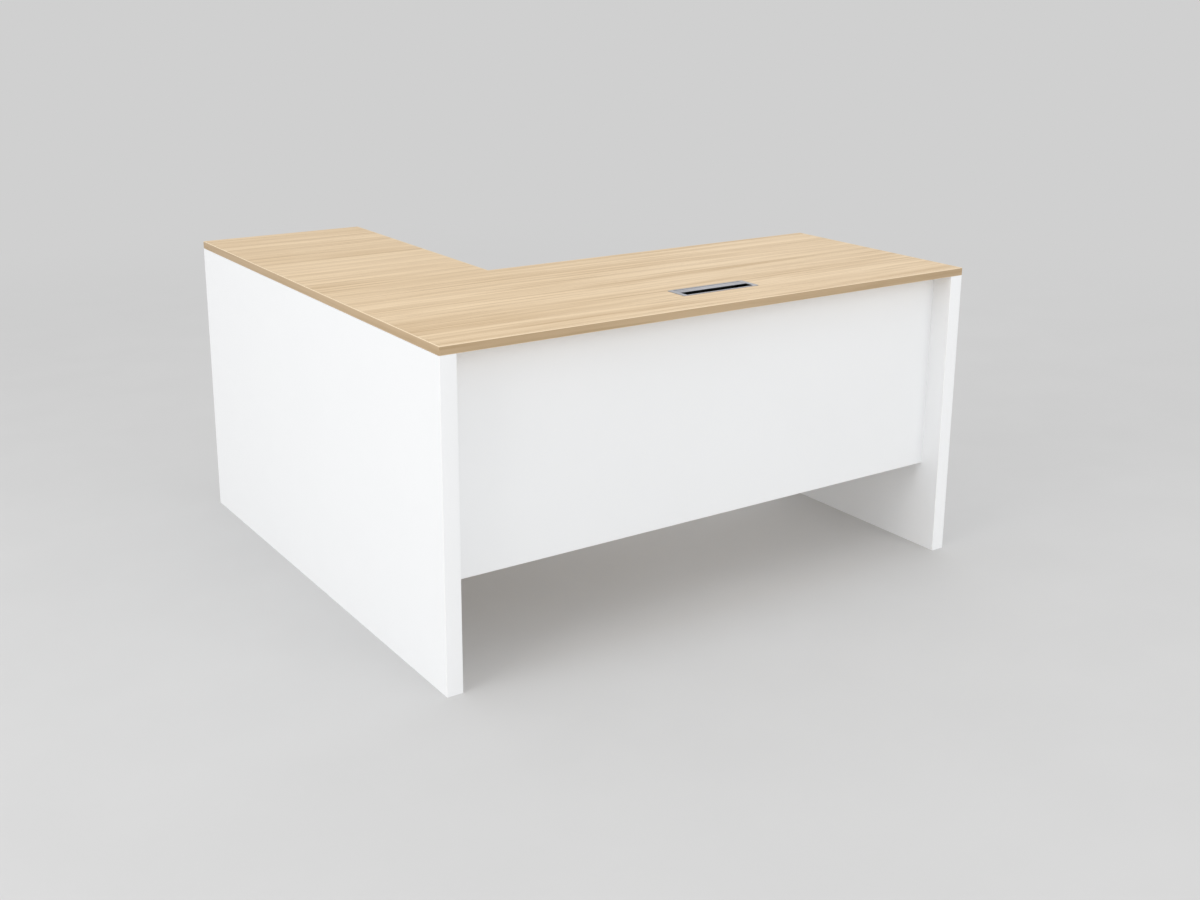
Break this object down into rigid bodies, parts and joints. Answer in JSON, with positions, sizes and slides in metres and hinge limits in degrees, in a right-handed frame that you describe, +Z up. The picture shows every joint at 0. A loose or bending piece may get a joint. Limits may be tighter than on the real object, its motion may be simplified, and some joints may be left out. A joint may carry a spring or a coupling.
{
  "type": "l-shaped corner desk",
  "caption": "Free-standing L-shaped corner desk with a wood-look top, white side and modesty panels, a flip-lid cable outlet and levelling feet.",
  "frame": {"origin": "on the floor, below the middle of the desk's outline", "axes": "+Z up; -Y is the visitor's side, where the modesty panel is; +X runs along the front edge to the end without the return"},
  "size_m": [1.46, 1.35, 0.746],
  "materials": {
    "oak_board": "matt melamine with a pale oak print, straight grain along X",
    "oak_tape": "matt plastic edging with a darker oak print",
    "white_board": "white melamine, fine pearl texture",
    "white_tape": "white plastic edging, satin",
    "white_cap": "white moulded plastic",
    "zinc_steel": "zinc-plated steel and zinc castings",
    "beech": "bare fluted beech",
    "satin_aluminium": "satin anodised aluminium",
    "black_plastic": "black moulded plastic"
  },
  "bodies": {
    "desk": {"worktop_board": "oak_board", "worktop_edging_front": "oak_tape", "worktop_edging_right": "oak_tape", "worktop_edging_user": "oak_tape", "worktop_edging_return": "oak_tape", "worktop_edging_end": "oak_tape", "worktop_edging_left": "oak_tape", "left_side_panel": "white_board", "left_panel_edging": "white_tape", "right_side_panel": "white_board", "right_panel_edging": "white_tape", "modesty_panel": "white_board", "modesty_edging": "white_tape", "return_end_panel": "white_board", "end_panel_edging": "white_tape", "worktop_cam_bolts": "zinc_steel", "worktop_cam_locks": "zinc_steel", "worktop_dowels": "beech", "modesty_cam_bolts": "zinc_steel", "modesty_cam_locks": "zinc_steel", "modesty_dowels": "beech", "end_panel_cam_bolts": "zinc_steel", "end_panel_cam_locks": "zinc_steel", "end_panel_dowels": "beech", "cam_cover_caps": "white_cap", "outlet_frame": "satin_aluminium", "outlet_liner": "black_plastic", "outlet_hinge_pins": "zinc_steel", "outlet_screws": "zinc_steel", "levelling_inserts": "zinc_steel"},
    "outlet_lid": {"outlet_lid": "satin_aluminium"},
    "left_front_foot": {"left_front_foot_pad": "black_plastic", "left_front_foot_stud": "zinc_steel"},
    "left_middle_foot": {"left_middle_foot_pad": "black_plastic", "left_middle_foot_stud": "zinc_steel"},
    "left_far_foot": {"left_far_foot_pad": "black_plastic", "left_far_foot_stud": "zinc_steel"},
    "right_front_foot": {"right_front_foot_pad": "black_plastic", "right_front_foot_stud": "zinc_steel"},
    "right_rear_foot": {"right_rear_foot_pad": "black_plastic", "right_rear_foot_stud": "zinc_steel"},
    "return_end_foot": {"return_end_foot_pad": "black_plastic", "return_end_foot_stud": "zinc_steel"}
  },
  "joints": [
    {"name": "outlet_lid_hinge", "type": "hinge", "parent": "desk", "child": "outlet_lid", "pos_m": [0.053, -0.513, 0.7422], "axis": [-1, 0, 0], "range_deg": [0, 92]},
    {"name": "left_front_foot_screw", "type": "slide", "parent": "desk", "child": "left_front_foot", "axis": [0, 0, -1], "range_m": [0, 0.012]},
    {"name": "left_middle_foot_screw", "type": "slide", "parent": "desk", "child": "left_middle_foot", "axis": [0, 0, -1], "range_m": [0, 0.012]},
    {"name": "left_far_foot_screw", "type": "slide", "parent": "desk", "child": "left_far_foot", "axis": [0, 0, -1], "range_m": [0, 0.012]},
    {"name": "right_front_foot_screw", "type": "slide", "parent": "desk", "child": "right_front_foot", "axis": [0, 0, -1], "range_m": [0, 0.012]},
    {"name": "right_rear_foot_screw", "type": "slide", "parent": "desk", "child": "right_rear_foot", "axis": [0, 0, -1], "range_m": [0, 0.012]},
    {"name": "return_end_foot_screw", "type": "slide", "parent": "desk", "child": "return_end_foot", "axis": [0, 0, -1], "range_m": [0, 0.012]}
  ]
}
